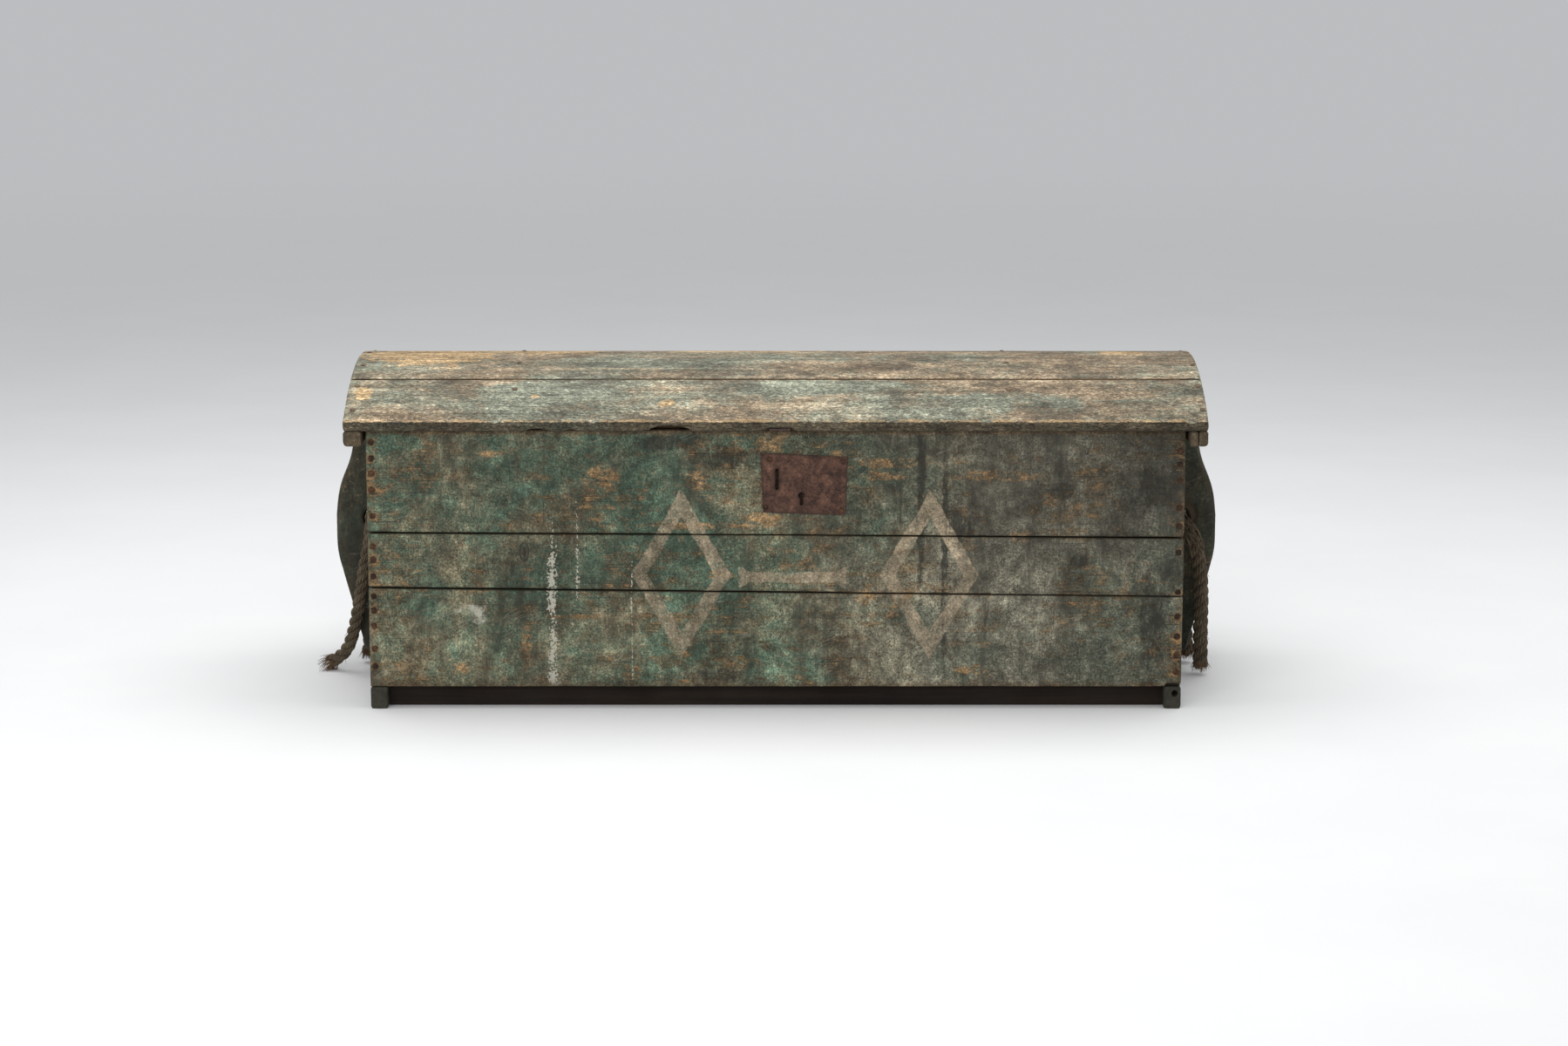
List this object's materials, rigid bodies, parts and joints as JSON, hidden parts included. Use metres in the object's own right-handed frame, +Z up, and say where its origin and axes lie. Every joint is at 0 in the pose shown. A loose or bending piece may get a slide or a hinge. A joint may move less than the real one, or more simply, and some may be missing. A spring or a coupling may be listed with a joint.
{
  "type": "storage chest",
  "caption": "Old painted board chest with a low domed lid on strap hinges, a plate lock, end runners, and shaped end cleats bored for rope beckets whose tails hang to the floor.",
  "frame": {"origin": "on the floor under the middle of the chest", "axes": "+X to the right seen from the front, +Y from the front to the back, +Z up"},
  "size_m": [1.376, 0.492, 0.5021],
  "materials": {
    "front_boards": "old blue-green paint worn through to brown wood",
    "box_boards": "old blue-green paint on the outside, bare brown wood inside",
    "lid_boards": "grey-green paint worn to tan wood",
    "cheeks": "brown end grain with traces of grey paint",
    "cleats": "blue-green paint, worn brown along the edges",
    "runners": "dark grey-green wood",
    "rails": "dark brown wood",
    "bare_wood": "bare aged pine",
    "lock_iron": "even brown-purple rust",
    "lock_steel": "dark worn steel",
    "hasp_iron": "rusted iron rubbed bright",
    "hinge_iron": "dark rusted wrought iron",
    "nail_iron": "rusted",
    "rope": "three-strand brown fibre rope, weathered"
  },
  "bodies": {
    "box": {"back_board_lower": "box_boards", "back_board_middle": "box_boards", "back_board_upper": "box_boards", "bottom_board_back": "bare_wood", "bottom_board_front": "bare_wood", "bottom_board_middle": "bare_wood", "cleat_left": "cleats", "cleat_right": "cleats", "end_board_left_lower": "box_boards", "end_board_left_upper": "box_boards", "end_board_right_lower": "box_boards", "end_board_right_upper": "box_boards", "front_board_lower": "front_boards", "front_board_middle": "front_boards", "front_board_upper": "front_boards", "hinge_left_back_leaf": "hinge_iron", "hinge_left_pin": "hinge_iron", "hinge_nails_back": "nail_iron", "hinge_right_back_leaf": "hinge_iron", "hinge_right_pin": "hinge_iron", "lock_case": "lock_iron", "lock_plate": "lock_iron", "lock_rivets": "lock_iron", "lock_spring": "lock_steel", "nails_back_left": "nail_iron", "nails_back_right": "nail_iron", "nails_cleat_left": "nail_iron", "nails_cleat_right": "nail_iron", "nails_front_left": "nail_iron", "nails_front_right": "nail_iron", "rail_back": "rails", "rail_front": "rails", "rope_left_back": "rope", "rope_left_front": "rope", "rope_right_back": "rope", "rope_right_front": "rope", "runner_left": "runners", "runner_right": "runners"},
    "lid": {"hasp_hinge_stub": "hasp_iron", "hinge_left_lid_strap": "hinge_iron", "hinge_nails_lid": "nail_iron", "hinge_right_lid_strap": "hinge_iron", "lid_board_back": "lid_boards", "lid_board_front": "lid_boards", "lid_board_middle": "lid_boards", "lid_cheek_left": "cheeks", "lid_cheek_right_inner": "cheeks", "lid_cheek_right_outer": "cheeks", "lid_rib_left": "bare_wood", "lid_rib_right": "bare_wood", "nails_lid_left": "nail_iron", "nails_lid_ribs": "nail_iron", "nails_lid_right": "nail_iron"},
    "bolt": {"lock_bolt": "lock_steel"}
  },
  "joints": [
    {"name": "lid_hinge", "type": "hinge", "parent": "box", "child": "lid", "pos_m": [0, 0.2313, 0.417], "axis": [-1, 0, 0], "range_deg": [0, 115]},
    {"name": "bolt_slide", "type": "slide", "parent": "box", "child": "bolt", "axis": [-1, 0, 0], "range_m": [0, 0.014]}
  ]
}
